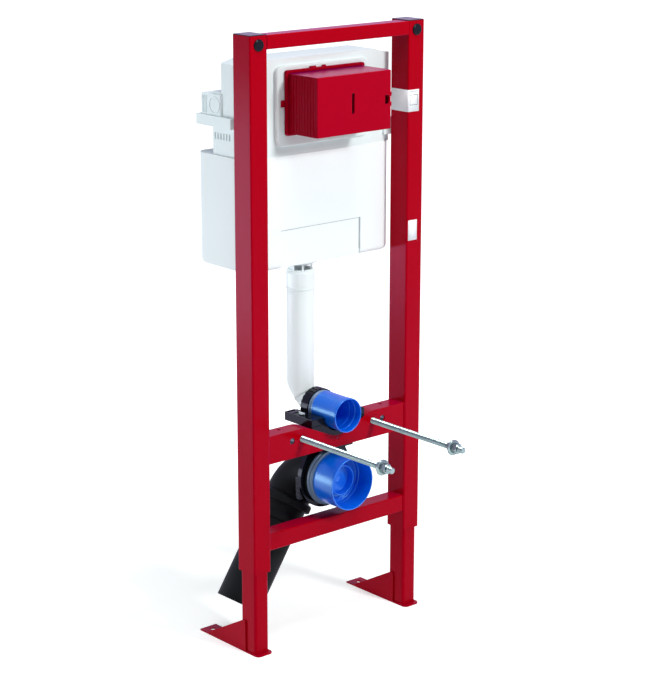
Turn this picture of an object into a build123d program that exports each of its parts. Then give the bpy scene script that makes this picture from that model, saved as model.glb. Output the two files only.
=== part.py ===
# Wall hung toilet frame: red steel frame, cistern, flush pipe and waste elbow.
# Millimetres. X runs along the wall, -Y is the room side, Z is up.
# The floor is Z 0 and the front of the posts is Y 0.
import math
import os

from build123d import *

os.makedirs("parts", exist_ok=True)

# frame
frame_width = 425.0
frame_top = 1184.0
post_size = 40.0
post_depth = 50.0
post_wall = 2.0
post_corner = 3.0
sleeve_bottom = 166.0
flat_gap = 0.3

# cross members
top_beam_height = 26.0
top_beam_depth = 32.0
lower_beam_drop = 73.0
lower_beam_height = 34.0
lower_beam_depth = 35.0
beam_setback = 3.0
beam_wall = 2.0
bolt_beam_drop = 34.0
bolt_beam_height = 55.0
bolt_beam_depth = 35.0
bolt_beam_sheet = 3.0
notch_half_width = 82.0
notch_depth = 36.0
notch_bottom_radius = 50.0
notch_shoulder_radius = 60.0
flange_hole_x = 130.0
flange_hole_diameter = 8.0
centre_hole_diameter = 5.0
centre_hole_rise = 16.5

# pan fixings, as the pan standard sets them
rod_distance = 180.0
spare_hole_distance = 230.0
flush_above_rods = 35.0
waste_below_rods = 100.0
rod_height = 413.0
rod_diameter = 12.0
rod_reach = 253.0
rod_tail = 20.0
rod_chamfer = 1.5
spare_hole_diameter = 12.6
weld_nut_height = 11.0
nut_across_flats = 18.0
nut_height = 13.0
lock_nut_height = 8.0
washer_diameter = 30.0
washer_thickness = 3.0
rod_end_proud = 13.0
rod_hole_gap = 0.5
thread_gap = 0.15

# legs and feet
leg_size = 33.0
leg_depth = 43.0
leg_corner = 5.0
leg_wall = 2.0
leg_hidden_length = 180.0
guide_height = 25.0
guide_recess = 1.0
foot_length = 181.0
foot_front = -7.0
foot_sheet = 3.0
gusset_height = 65.0
gusset_front = 31.0
gusset_top_run = 8.0
gusset_end = 154.0
foot_hole_y = 158.0
foot_hole_diameter = 11.0
foot_corner = 9.0
tab_corner = 9.0

# wall fixing points at the top of the posts
plug_drop = 17.0
plug_diameter = 22.0
plug_dome = 3.0
plug_hole_diameter = 19.0
wall_hole_diameter = 11.0
cap_plate = 1.5
cap_depth = 14.0
cap_wall = 2.0

# cistern
tank_gap = 5.0
tank_half_width = 176.0
tank_top = 1130.0
tank_flat_inset = 40.0
tank_shoulder_drop = 7.0
tank_corner_width = 19.0
tank_corner_depth = 5.0
tank_upper_depth = 86.0
tank_lower_depth = 112.0
tank_step = 1067.0
tank_back_corner = 10.0
tank_shoulder_side = 2.0
tank_edge_radius = 8.0
jacket_gap = 3.0
jacket_side = 4.0
jacket_front_wall = 10.0
jacket_back_wall = 10.0
jacket_depth = 155.0
jacket_top = 950.0
jacket_bottom = 736.0
jacket_corner = 25.0
jacket_floor = 10.0
jacket_edge_radius = 10.0
panel_half_width = 99.5
panel_height = 74.0
panel_recess = 4.0
ear_reach = 196.0
ear_height = 33.0
ear_base = 964.0
ear_thickness = 4.0
ear_root_depth = 14.0
slot_count = 7
slot_pitch = 8.6
slot_width = 3.4
slot_height = 12.0
slot_depth = 2.0
slot_base = 980.0
slot_setback = 78.0

# water connection round the back corner of the tank on the left
housing_proud = 4.0
housing_width = 60.0
housing_front = 127.0
housing_depth = 61.0
housing_bottom = 1023.0
housing_height = 40.0
housing_corner = 4.0
lip_proud = 3.5
lip_front = 95.0
lip_depth = 103.0
lip_height = 20.0
inlet_diameter = 32.0
inlet_ring = 2.0
inlet_proud = 1.0
inlet_setback = 19.5
groove_count = 4
groove_pitch = 4.6
groove_width = 2.0
groove_depth = 1.0
groove_setback = 50.0

# inspection opening on the front of the tank
surround_half_width = 113.0
surround_bottom = 968.0
surround_top = 1118.0
surround_proud = 9.0
surround_corner = 14.0
surround_edge_radius = 4.0
box_half_width = 90.0
box_bottom = 994.0
box_top = 1104.0
box_front = -41.0
box_wall = 2.5
box_flange = 3.5
box_flange_thickness = 3.0
box_rib_count = 9
box_rib_width = 2.4
box_rib_proud = 1.0
cover_thickness = 5.0
cover_slot_height = 38.0
cover_slot_width = 6.0
catch_width = 12.0
catch_height = 16.0
catch_inset = 2.0

# flush pipe
pipe_setback = 60.0
pipe_diameter = 46.0
pipe_wall = 2.5
pipe_bend_radius = 40.0
pipe_fit_gap = 0.3
outlet_flange_diameter = 84.0
outlet_cone_height = 14.0
outlet_neck_diameter = 52.0
outlet_neck_height = 11.0
outlet_window_width = 26.0
outlet_window_height = 6.0
outlet_spigot = 20.0
seam_height = 665.0
seam_diameter = 50.0
seam_depth = 6.0

# flush bracket, clamp and cap
bracket_half_width = 67.0
bracket_back = 84.0
bracket_wall = 3.0
bracket_drop = 5.0
bracket_flange = 15.0
saddle_gap = 0.3
saddle_wall = 3.0
clamp_ring_diameter = 72.0
clamp_ring_front = 54.0
clamp_ring_back = 74.0
clamp_rib_count = 24
clamp_rib_width = 3.0
clamp_rib_depth = 1.0
flush_seal_diameter = 67.0
flush_seal_length = 10.0
flush_cap_diameter = 68.0
flush_cap_front = -26.0
flush_cap_wall = 2.5
flush_step = 15.0
flush_plug_depth = 18.0

# waste elbow, clamp and cap
elbow_diameter = 90.0
elbow_wall = 3.0
elbow_leg_y = 112.0
elbow_radius = 56.0
elbow_tilt = 33.5
elbow_outlet_height = 64.5
socket_diameter = 112.0
socket_front = 30.0
collar_diameter = 98.0
collar_start = 105.0
collar_length = 12.0
waste_seal_diameter = 115.0
waste_seal_length = 13.0
waste_seal_step = 2.0
waste_cap_diameter = 105.0
waste_cap_front = -39.0
waste_cap_wall = 2.5
waste_cap_floor = 46.0
waste_step = 2.0
waste_plug_depth = 20.0
inner_cup_diameter = 60.0
inner_cup_height = 16.0
holder_thickness = 10.0
holder_ring = 9.0
holder_pad_half_width = 40.0
holder_clear = 0.5
holder_gap = 0.3
band_width = 7.0
band_thickness = 1.2
band_gap = 0.3
band_lug = 14.0
band_lug_width = 5.0

# worked out from the sizes above
half_width = frame_width / 2
bore_width = post_size - 2 * post_wall
bore_depth = post_depth - 2 * post_wall
tank_front = post_depth + tank_gap
tank_upper_back = tank_front + tank_upper_depth
tank_lower_back = tank_front + tank_lower_depth
jacket_front = post_depth + jacket_gap
jacket_back = jacket_front + jacket_depth
jacket_half_width = tank_half_width + jacket_side
pipe_y = tank_front + pipe_setback
plug_z = frame_top - plug_drop
post_x = half_width - post_size / 2
inner_x = half_width - post_size
bolt_beam_bottom = rod_height - bolt_beam_drop
bolt_beam_top = bolt_beam_bottom + bolt_beam_height
tank_bottom = jacket_bottom + jacket_floor
flush_z = rod_height + flush_above_rods
waste_z = rod_height - waste_below_rods
lower_beam_top = waste_z - lower_beam_drop
bracket_plate = flush_z - bracket_drop
pipe_radius = pipe_diameter / 2
pipe_bore = pipe_radius - pipe_wall
pipe_end_y = clamp_ring_front
pipe_top = jacket_bottom - outlet_cone_height - outlet_neck_height
elbow_turn = math.radians(elbow_tilt)
elbow_length = (waste_z - elbow_outlet_height) / math.cos(elbow_turn)
holder_front = beam_setback + lower_beam_depth + holder_clear
sides = (("left", -1), ("right", 1))


def save(part, label):
    part.label = label
    export_step(part, f"parts/{label}.step")


def front_plane(y):
    """A plane across the frame at depth y. Its normal faces the room, so it is extruded back by -amount."""
    return Plane.XZ.offset(-y)


def side_plane(x):
    """A plane along the depth of the frame at x, with local x to the wall and local y up."""
    return Plane(origin=(x, 0, 0), x_dir=(0, 1, 0), z_dir=(1, 0, 0))


# posts, with a plug hole in front and a wall bolt hole behind
for side, sign in sides:
    with BuildPart() as post:
        with BuildSketch(Plane.XY.offset(sleeve_bottom)):
            with Locations((sign * post_x, post_depth / 2)):
                RectangleRounded(post_size, post_depth, post_corner)
                RectangleRounded(bore_width, bore_depth, post_corner - post_wall, mode=Mode.SUBTRACT)
        extrude(amount=frame_top - sleeve_bottom)
        with BuildSketch(front_plane(0)):
            with Locations((sign * post_x, plug_z)):
                Circle(plug_hole_diameter / 2)
        extrude(amount=-post_depth / 2, mode=Mode.SUBTRACT)
        with BuildSketch(front_plane(post_depth / 2)):
            with Locations((sign * post_x, plug_z)):
                Circle(wall_hole_diameter / 2)
        extrude(amount=-post_depth / 2, mode=Mode.SUBTRACT)
    save(post.part, f"{side}_post")

# end caps pressed into the open tops of the posts
for side, sign in sides:
    with BuildPart() as post_cap:
        with BuildSketch(Plane.XY.offset(frame_top)):
            with Locations((sign * post_x, post_depth / 2)):
                RectangleRounded(post_size - 2 * flat_gap, post_depth - 2 * flat_gap, post_corner)
        extrude(amount=cap_plate)
        chamfer(post_cap.faces().sort_by(Axis.Z)[-1].edges(), cap_plate / 3)
        skirt_width = bore_width - 2 * flat_gap
        skirt_depth = bore_depth - 2 * flat_gap
        with BuildSketch(Plane.XY.offset(frame_top - cap_depth)):
            with Locations((sign * post_x, post_depth / 2)):
                RectangleRounded(skirt_width, skirt_depth, post_corner)
                Rectangle(skirt_width - 2 * cap_wall, skirt_depth - 2 * cap_wall, mode=Mode.SUBTRACT)
        extrude(amount=cap_depth)
        with BuildSketch(front_plane(0)):
            with Locations((sign * post_x, plug_z)):
                Circle(plug_hole_diameter / 2 + flat_gap)
        extrude(amount=-post_depth, mode=Mode.SUBTRACT)
    save(post_cap.part, f"{side}_post_cap")

# domed plugs over the wall bolts
for side, sign in sides:
    with BuildPart() as plug:
        with BuildSketch(front_plane(-plug_dome)):
            with Locations((sign * post_x, plug_z)):
                Circle(plug_diameter / 2)
        extrude(amount=-plug_dome)
        fillet(plug.faces().sort_by(Axis.Y)[0].edges(), plug_dome * 0.8)
        with BuildSketch(front_plane(0)):
            with Locations((sign * post_x, plug_z)):
                Circle(plug_hole_diameter / 2 - flat_gap)
                Circle(plug_hole_diameter / 2 - flat_gap - cap_wall, mode=Mode.SUBTRACT)
        extrude(amount=-2 * post_wall)
    save(plug.part, f"{side}_hole_plug")

# plastic guides pressed into the lower ends of the posts, which the legs slide through
for side, sign in sides:
    with BuildPart() as guide:
        with BuildSketch(Plane.XY.offset(sleeve_bottom + guide_recess)):
            with Locations((sign * post_x, post_depth / 2)):
                RectangleRounded(bore_width, bore_depth, post_corner - post_wall + flat_gap)
                RectangleRounded(leg_size + 2 * flat_gap, leg_depth + 2 * flat_gap, leg_corner, mode=Mode.SUBTRACT)
        extrude(amount=guide_height)
    save(guide.part, f"{side}_leg_guide")

# telescopic legs, smaller tubes inside the posts
for side, sign in sides:
    with BuildPart() as leg:
        with BuildSketch(Plane.XY.offset(foot_sheet)):
            with Locations((sign * post_x, post_depth / 2)):
                RectangleRounded(leg_size, leg_depth, leg_corner)
                leg_bore = (leg_size - 2 * leg_wall, leg_depth - 2 * leg_wall)
                RectangleRounded(*leg_bore, leg_corner - leg_wall, mode=Mode.SUBTRACT)
        extrude(amount=sleeve_bottom + leg_hidden_length - foot_sheet)
    save(leg.part, f"{side}_leg")

# feet: a base plate with a holed tab and a gusset on each side of the leg
foot_half = leg_size / 2 + foot_sheet
for side, sign in sides:
    with BuildPart() as foot:
        for flank in (-1, 1):
            with BuildSketch(side_plane(sign * post_x + flank * (leg_size / 2 + foot_sheet / 2))):
                with BuildLine():
                    Polyline(
                        (gusset_front, 0),
                        (gusset_front, gusset_height),
                        (gusset_front + gusset_top_run, gusset_height),
                        (gusset_end, foot_sheet / 2),
                        (gusset_end, 0),
                        close=True,
                    )
                make_face()
            extrude(amount=foot_sheet / 2, both=True)
        with BuildSketch(Plane.XY):
            with Locations((sign * post_x, foot_front + foot_length / 2)):
                outline = Rectangle(2 * foot_half, foot_length)
            corners = outline.vertices().group_by(Axis.Y)
            fillet(corners[0], foot_corner)
            chamfer(corners[-1], tab_corner)
            with Locations((sign * post_x, foot_hole_y)):
                Circle(foot_hole_diameter / 2, mode=Mode.SUBTRACT)
        extrude(amount=foot_sheet)
    save(foot.part, f"{side}_foot")


def cross_tube(label, front, top, depth, height):
    """A closed rectangular tube between the posts."""
    with BuildPart() as beam:
        with BuildSketch(side_plane(0)):
            with Locations((front + depth / 2, top - height / 2)):
                RectangleRounded(depth, height, beam_wall)
                Rectangle(depth - 2 * beam_wall, height - 2 * beam_wall, mode=Mode.SUBTRACT)
        extrude(amount=inner_x, both=True)
    save(beam.part, label)


cross_tube("top_beam", 0, frame_top, top_beam_depth, top_beam_height)
cross_tube("lower_beam", beam_setback, lower_beam_top, lower_beam_depth, lower_beam_height)

# pressed bolt beam, a tray of sheet open at the back, with a notch for the flush pipe
with BuildPart() as bolt_beam:
    with BuildSketch(front_plane(beam_setback)) as beam_outline:
        with BuildLine():
            Polyline(
                (-inner_x, bolt_beam_bottom),
                (inner_x, bolt_beam_bottom),
                (inner_x, bolt_beam_top),
                (notch_half_width, bolt_beam_top),
                (0, bolt_beam_top - notch_depth),
                (-notch_half_width, bolt_beam_top),
                (-inner_x, bolt_beam_top),
                close=True,
            )
        make_face()
        lowest = beam_outline.vertices().sort_by_distance((0, bolt_beam_top - notch_depth))
        fillet(lowest[0], notch_bottom_radius)
        for sign in (-1, 1):
            shoulder = beam_outline.vertices().sort_by_distance((sign * notch_half_width, bolt_beam_top))
            fillet(shoulder[0], notch_shoulder_radius)
    extrude(amount=-bolt_beam_depth)
    with BuildSketch(front_plane(beam_setback + bolt_beam_sheet)):
        add(beam_outline.sketch_local)
        offset(amount=-bolt_beam_sheet)
    extrude(amount=-bolt_beam_depth, mode=Mode.SUBTRACT)
    with BuildSketch(front_plane(beam_setback)):
        with GridLocations(rod_distance, 0, 2, 1):
            with Locations((0, rod_height)):
                Circle(rod_diameter / 2 + rod_hole_gap)
        with GridLocations(spare_hole_distance, 0, 2, 1):
            with Locations((0, rod_height)):
                Circle(spare_hole_diameter / 2)
        with Locations((0, bolt_beam_bottom + centre_hole_rise)):
            Circle(centre_hole_diameter / 2)
    extrude(amount=-bolt_beam_sheet, mode=Mode.SUBTRACT)
    with BuildSketch(Plane.XY.offset(bolt_beam_top)):
        with GridLocations(2 * flange_hole_x, 0, 2, 1):
            with Locations((0, beam_setback + bolt_beam_depth * 2 / 3)):
                Circle(flange_hole_diameter / 2)
    extrude(amount=-bolt_beam_sheet, mode=Mode.SUBTRACT)
save(bolt_beam.part, "bolt_beam")


def nut(label, x, front, height, bore):
    """A plain hexagon nut at the height of the rods, from depth front towards the wall."""
    with BuildPart() as hexagon:
        with BuildSketch(front_plane(front)):
            with Locations((x, rod_height)):
                RegularPolygon(nut_across_flats / 2, 6, major_radius=False)
                Circle(bore / 2, mode=Mode.SUBTRACT)
        extrude(amount=-height)
    save(hexagon.part, label)


# pan rods, each with a weld nut behind the beam, a washer, a lock nut behind it and a nut in front
thread_bore = rod_diameter + 2 * thread_gap
rod_front = beam_setback - rod_reach
nut_front = rod_front + rod_end_proud
for side, sign in sides:
    rod_x = sign * rod_distance / 2
    with BuildPart() as rod:
        with BuildSketch(front_plane(rod_front)):
            with Locations((rod_x, rod_height)):
                Circle(rod_diameter / 2)
        extrude(amount=-(rod_reach + rod_tail))
        chamfer(rod.edges().filter_by(GeomType.CIRCLE), rod_chamfer)
    save(rod.part, f"{side}_rod")
    nut(f"{side}_weld_nut", rod_x, beam_setback + bolt_beam_sheet, weld_nut_height, thread_bore)
    spare_x = sign * spare_hole_distance / 2
    nut(f"{side}_spare_nut", spare_x, beam_setback + bolt_beam_sheet, weld_nut_height, spare_hole_diameter)
    nut(f"{side}_nut", rod_x, nut_front, nut_height, thread_bore)
    with BuildPart() as washer:
        with BuildSketch(front_plane(nut_front + nut_height)):
            with Locations((rod_x, rod_height)):
                Circle(washer_diameter / 2)
                Circle(rod_diameter / 2 + flat_gap, mode=Mode.SUBTRACT)
        extrude(amount=-washer_thickness)
    save(washer.part, f"{side}_washer")
    nut(f"{side}_lock_nut", rod_x, nut_front + nut_height + washer_thickness, lock_nut_height, thread_bore)



def tank_plan(front, back):
    """The tank seen from above between two depths, with shallow front corners and cut back corners."""
    face_half = tank_half_width - tank_corner_width
    back_half = tank_half_width - tank_back_corner
    with BuildSketch() as plan:
        with BuildLine():
            Polyline(
                (-face_half, front),
                (face_half, front),
                (tank_half_width, front + tank_corner_depth),
                (tank_half_width, back - tank_back_corner),
                (back_half, back),
                (-back_half, back),
                (-tank_half_width, back - tank_back_corner),
                (-tank_half_width, front + tank_corner_depth),
                close=True,
            )
        make_face()
    return plan.sketch_local


# cistern tank, stepped at the back, with sloping shoulders and ears on the backs of the posts
pocket_plan = tank_plan(jacket_front + jacket_front_wall, jacket_back - jacket_back_wall)
lower_plan = tank_plan(tank_front, tank_lower_back)
upper_plan = tank_plan(tank_front, tank_upper_back)
with BuildPart() as tank:
    with BuildSketch(Plane.XY.offset(tank_bottom)):
        add(pocket_plan)
    extrude(amount=jacket_top - tank_bottom)
    with BuildSketch(Plane.XY.offset(jacket_top)):
        add(lower_plan)
    extrude(amount=tank_step - jacket_top)
    with BuildSketch(Plane.XY.offset(tank_step)):
        add(upper_plan)
    extrude(amount=tank_top - tank_step)
    with BuildSketch(front_plane(tank_front)):
        for sign in (-1, 1):
            with BuildLine():
                Polyline(
                    (sign * tank_half_width, tank_top),
                    (sign * tank_half_width, tank_top - tank_shoulder_drop - tank_shoulder_side),
                    (sign * (tank_half_width - tank_corner_width), tank_top - tank_shoulder_drop),
                    (sign * (tank_half_width - tank_flat_inset), tank_top),
                    close=True,
                )
            make_face()
    extrude(amount=-tank_upper_depth, mode=Mode.SUBTRACT)
    fillet(tank.edges().filter_by(Axis.X).group_by(Axis.Z)[-1].sort_by(Axis.Y)[-1], tank_edge_radius)
    ear_root = tank_half_width - tank_corner_width
    for sign in (-1, 1):
        with BuildSketch(Plane.XY.offset(ear_base)):
            with Locations((sign * (ear_root + ear_reach) / 2, post_depth + ear_thickness / 2)):
                Rectangle(ear_reach - ear_root, ear_thickness)
            with Locations((sign * (ear_root + tank_corner_width / 2), post_depth + ear_root_depth / 2)):
                Rectangle(tank_corner_width, ear_root_depth)
        extrude(amount=ear_height)
    with BuildSketch(side_plane(-tank_half_width)):
        with Locations((tank_front + slot_setback, slot_base + slot_height / 2)):
            with GridLocations(slot_pitch, 0, slot_count, 1):
                Rectangle(slot_width, slot_height)
    extrude(amount=slot_depth, mode=Mode.SUBTRACT)
save(tank.part, "cistern_tank")

# foam jacket round the lower tank, with a recessed panel in front
with BuildPart() as jacket:
    with BuildSketch(Plane.XY.offset(jacket_bottom)):
        with Locations((0, (jacket_front + jacket_back) / 2)):
            RectangleRounded(2 * jacket_half_width, jacket_depth, jacket_corner)
    extrude(amount=jacket_top - jacket_bottom)
    fillet(jacket.faces().sort_by(Axis.Z)[0].edges(), jacket_edge_radius)
    with BuildSketch(Plane.XY.offset(tank_bottom)):
        add(pocket_plan)
    extrude(amount=jacket_top - tank_bottom, mode=Mode.SUBTRACT)
    with BuildSketch(front_plane(jacket_front)):
        with Locations((0, jacket_bottom)):
            Rectangle(2 * panel_half_width, panel_height, align=(Align.CENTER, Align.MIN))
    extrude(amount=-panel_recess, mode=Mode.SUBTRACT)
    with BuildSketch(Plane.XY.offset(jacket_bottom)):
        with Locations((0, pipe_y)):
            Circle(outlet_neck_diameter / 2)
    extrude(amount=jacket_floor, mode=Mode.SUBTRACT)
save(jacket.part, "cistern_jacket")

# water connection round the tank's back corner, with a wider lip under it and a ring round the inlet
housing_x = -tank_half_width - housing_proud
with BuildPart() as side_connection:
    with BuildSketch(Plane.XY.offset(housing_bottom)):
        with Locations((housing_x, housing_front)):
            Rectangle(housing_width, housing_depth, align=(Align.MIN, Align.MIN))
    extrude(amount=housing_height)
    fillet(side_connection.edges().filter_by(Axis.Z).group_by(Axis.X)[0], housing_corner)
    with BuildSketch(Plane.XY.offset(housing_bottom - lip_height)):
        with Locations((housing_x - lip_proud, lip_front)):
            Rectangle(housing_width + 2 * lip_proud, lip_depth, align=(Align.MIN, Align.MIN))
    extrude(amount=lip_height)
    with BuildSketch(Plane.XY.offset(housing_bottom - lip_height)):
        add(lower_plan)
    extrude(amount=lip_height + housing_height, mode=Mode.SUBTRACT)
    with BuildSketch(side_plane(housing_x)):
        with Locations((housing_front + inlet_setback, housing_bottom + housing_height / 2)):
            Circle(inlet_diameter / 2)
            Circle(inlet_diameter / 2 - inlet_ring, mode=Mode.SUBTRACT)
    extrude(amount=-inlet_proud)
    with BuildSketch(side_plane(housing_x)):
        with Locations((housing_front + groove_setback, housing_bottom + housing_height / 2)):
            with GridLocations(groove_pitch, 0, groove_count, 1):
                Rectangle(groove_width, housing_height - 2 * housing_corner)
    extrude(amount=groove_depth, mode=Mode.SUBTRACT)
save(side_connection.part, "side_connection")

# surround of the inspection opening, on the front of the tank
box_middle = (0, (box_bottom + box_top) / 2)
box_width = 2 * box_half_width
box_height = box_top - box_bottom
flange_back = tank_front - surround_proud
with BuildPart() as surround:
    with BuildSketch(front_plane(flange_back)):
        with Locations((0, (surround_bottom + surround_top) / 2)):
            RectangleRounded(2 * surround_half_width, surround_top - surround_bottom, surround_corner)
        with Locations(box_middle):
            Rectangle(box_width + 2 * flat_gap, box_height + 2 * flat_gap, mode=Mode.SUBTRACT)
    extrude(amount=-surround_proud)
    fillet(surround.faces().sort_by(Axis.Y)[0].outer_wire().edges(), surround_edge_radius)
save(surround.part, "inspection_surround")

# protection box of the inspection opening, open front and back, ribbed on its sides
with BuildPart() as box:
    box_mouth = box_front + cover_thickness
    with BuildSketch(front_plane(box_mouth)):
        with Locations(box_middle):
            Rectangle(box_width, box_height)
            Rectangle(box_width - 2 * box_wall, box_height - 2 * box_wall, mode=Mode.SUBTRACT)
    extrude(amount=-(tank_front - box_mouth))
    with BuildSketch(front_plane(flange_back - box_flange_thickness)):
        with Locations(box_middle):
            Rectangle(box_width + 2 * box_flange, box_height + 2 * box_flange)
            Rectangle(box_width - 2 * box_wall, box_height - 2 * box_wall, mode=Mode.SUBTRACT)
    extrude(amount=-box_flange_thickness)
    rib_run = flange_back - box_flange_thickness - box_mouth
    rib_step = rib_run / (box_rib_count + 1)
    for sign in (-1, 1):
        with BuildSketch(side_plane(sign * (box_half_width - box_wall / 2))):
            with Locations((box_mouth + rib_run / 2, box_middle[1])):
                with GridLocations(rib_step, 0, box_rib_count, 1):
                    Rectangle(box_rib_width, box_height - 2 * box_wall)
        extrude(amount=sign * (box_rib_proud + box_wall / 2))
save(box.part, "inspection_box")

# front cover of the protection box, with a pull slot and a catch pocket
with BuildPart() as cover:
    with BuildSketch(front_plane(box_front)):
        with Locations(box_middle):
            Rectangle(box_width, box_height)
            Rectangle(cover_slot_width, cover_slot_height, mode=Mode.SUBTRACT)
            with Locations((box_half_width - catch_inset, 0)):
                Rectangle(catch_width, catch_height, align=(Align.MAX, Align.CENTER), mode=Mode.SUBTRACT)
    extrude(amount=-cover_thickness)
save(cover.part, "inspection_cover")

# outlet collar under the cistern, open at the sides, with a spigot into the flush pipe
cone_bottom = jacket_bottom - outlet_cone_height
with BuildPart() as outlet:
    with BuildSketch(Plane.XZ.offset(-pipe_y)):
        with BuildLine():
            Polyline(
                (pipe_bore - pipe_fit_gap, tank_bottom),
                (outlet_neck_diameter / 2 - pipe_fit_gap, tank_bottom),
                (outlet_neck_diameter / 2 - pipe_fit_gap, jacket_bottom),
                (outlet_flange_diameter / 2, jacket_bottom),
                (outlet_flange_diameter / 2, jacket_bottom - pipe_wall),
                (outlet_neck_diameter / 2, cone_bottom),
                (outlet_neck_diameter / 2, pipe_top),
                (pipe_bore - pipe_fit_gap, pipe_top),
                (pipe_bore - pipe_fit_gap, pipe_top - outlet_spigot),
                (pipe_bore - pipe_fit_gap - pipe_wall, pipe_top - outlet_spigot),
                (pipe_bore - pipe_fit_gap - pipe_wall, tank_bottom),
                close=True,
            )
        make_face()
    revolve(axis=Axis((0, pipe_y, 0), (0, 0, 1)))
    with BuildSketch(Plane.XZ.offset(-pipe_y)):
        with Locations((0, cone_bottom - outlet_neck_height / 2)):
            Rectangle(outlet_window_width, outlet_window_height)
    extrude(amount=outlet_neck_diameter, both=True, mode=Mode.SUBTRACT)
save(outlet.part, "outlet_collar")

# flush pipe, straight down and then bent to the room, with a seam ring
with BuildPart() as pipe:
    with BuildLine(side_plane(0)) as pipe_path:
        FilletPolyline((pipe_y, pipe_top), (pipe_y, flush_z), (pipe_end_y, flush_z), radius=pipe_bend_radius)
    with BuildSketch(Plane.XY.offset(pipe_top)):
        with Locations((0, pipe_y)):
            Circle(pipe_radius)
            Circle(pipe_bore, mode=Mode.SUBTRACT)
    sweep(path=pipe_path.wire())
    with BuildSketch(Plane.XY.offset(seam_height)):
        with Locations((0, pipe_y)):
            Circle(seam_diameter / 2)
            Circle(pipe_radius - pipe_wall / 2, mode=Mode.SUBTRACT)
    extrude(amount=seam_depth)
save(pipe.part, "flush_pipe")

# flush bracket, a web in the notch of the bolt beam and a tray with a trough for the clamp ring
trough_radius = clamp_ring_diameter / 2 + saddle_gap
bracket_width = 2 * bracket_half_width


def bracket_slice(front, back, web):
    """One length of the bracket between two depths, with or without the web that closes it below."""
    with BuildSketch(front_plane(front)) as outline:
        with Locations((0, bracket_plate)):
            if web:
                Rectangle(bracket_width, bolt_beam_height, align=(Align.CENTER, Align.MAX))
            else:
                Rectangle(bracket_width, bracket_wall, align=(Align.CENTER, Align.MAX))
                with GridLocations(bracket_width - bracket_wall, 0, 2, 1):
                    Rectangle(bracket_wall, 2 * bracket_flange, align=(Align.CENTER, Align.MAX))
        with Locations((0, flush_z)):
            Circle(trough_radius + saddle_wall)
            Circle(trough_radius, mode=Mode.SUBTRACT)
        with Locations((0, bracket_plate)):
            Rectangle(bracket_width, bolt_beam_height, align=(Align.CENTER, Align.MIN), mode=Mode.SUBTRACT)
        add(beam_outline.sketch_local, mode=Mode.SUBTRACT)
    return extrude(outline.sketch, amount=-(back - front), mode=Mode.PRIVATE)


with BuildPart() as bracket:
    add(bracket_slice(beam_setback, beam_setback + bracket_wall, True))
    add(bracket_slice(beam_setback + bracket_wall, bracket_back, False))
save(bracket.part, "flush_bracket")

# ribbed clamp ring round the end of the flush pipe
with BuildPart() as clamp_ring:
    with BuildSketch(front_plane(clamp_ring_front)):
        with Locations((0, flush_z)):
            Circle(clamp_ring_diameter / 2)
            Circle(pipe_radius + pipe_fit_gap, mode=Mode.SUBTRACT)
            with PolarLocations(clamp_ring_diameter / 2, clamp_rib_count):
                Rectangle(2 * clamp_rib_depth, clamp_rib_width, mode=Mode.SUBTRACT)
    extrude(amount=-(clamp_ring_back - clamp_ring_front))
save(clamp_ring.part, "flush_clamp_ring")


def turned(label, height, points):
    """A piece turned about a line from the room to the wall, from corners given as (depth, radius)."""
    with BuildPart() as solid:
        with BuildSketch(side_plane(0)):
            with BuildLine():
                Polyline([(depth, height + radius) for depth, radius in points], close=True)
            make_face()
        revolve(axis=Axis((0, 0, height), (0, 1, 0)))
    save(solid.part, label)


# seal and blue building cap of the flush pipe
flush_plug = pipe_bore - pipe_fit_gap
flush_seal_front = clamp_ring_front - flush_seal_length
flush_cap_radius = flush_cap_diameter / 2
turned(
    "flush_seal",
    flush_z,
    [
        (flush_seal_front, flush_plug + pipe_fit_gap),
        (flush_seal_front, flush_seal_diameter / 2),
        (clamp_ring_front, flush_seal_diameter / 2),
        (clamp_ring_front, flush_plug + pipe_fit_gap),
    ],
)
turned(
    "flush_cap",
    flush_z,
    [
        (flush_cap_front, flush_cap_radius),
        (flush_cap_front, flush_cap_radius - flush_cap_wall),
        (flush_cap_front + flush_step, flush_cap_radius - flush_cap_wall),
        (flush_cap_front + flush_step, flush_cap_radius - 1.5 * flush_cap_wall),
        (flush_seal_front - flush_cap_wall, flush_cap_radius - 1.5 * flush_cap_wall),
        (flush_seal_front - flush_cap_wall, 0),
        (flush_seal_front, 0),
        (flush_seal_front, flush_plug - flush_cap_wall),
        (flush_seal_front + flush_plug_depth, flush_plug - flush_cap_wall),
        (flush_seal_front + flush_plug_depth, flush_plug),
        (flush_seal_front, flush_plug),
        (flush_seal_front, flush_cap_radius),
    ],
)

# waste elbow, one bend from the pan towards the floor on the left, with a socket in front
elbow_bore = elbow_diameter / 2 - elbow_wall
elbow_frame = Plane(
    origin=(0, 0, waste_z), x_dir=(0, 1, 0), z_dir=(-math.cos(elbow_turn), 0, math.sin(elbow_turn))
)
leg_direction = Vector(-math.sin(elbow_turn), 0, -math.cos(elbow_turn))
collar_centre = Vector(0, elbow_leg_y, waste_z) + leg_direction * collar_start
with BuildPart() as elbow:
    with BuildLine(elbow_frame) as elbow_path:
        FilletPolyline((socket_front, 0), (elbow_leg_y, 0), (elbow_leg_y, elbow_length), radius=elbow_radius)
    with BuildSketch(front_plane(socket_front)):
        with Locations((0, waste_z)):
            Circle(elbow_diameter / 2)
            Circle(elbow_bore, mode=Mode.SUBTRACT)
    sweep(path=elbow_path.wire())
    with BuildSketch(front_plane(socket_front)):
        with Locations((0, waste_z)):
            Circle(socket_diameter / 2)
            Circle(elbow_bore, mode=Mode.SUBTRACT)
    extrude(amount=-(elbow_leg_y - elbow_radius - socket_front))
    with BuildSketch(Plane(origin=collar_centre, x_dir=(0, 1, 0), z_dir=leg_direction)):
        Circle(collar_diameter / 2)
        Circle(elbow_bore, mode=Mode.SUBTRACT)
    extrude(amount=collar_length)
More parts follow.
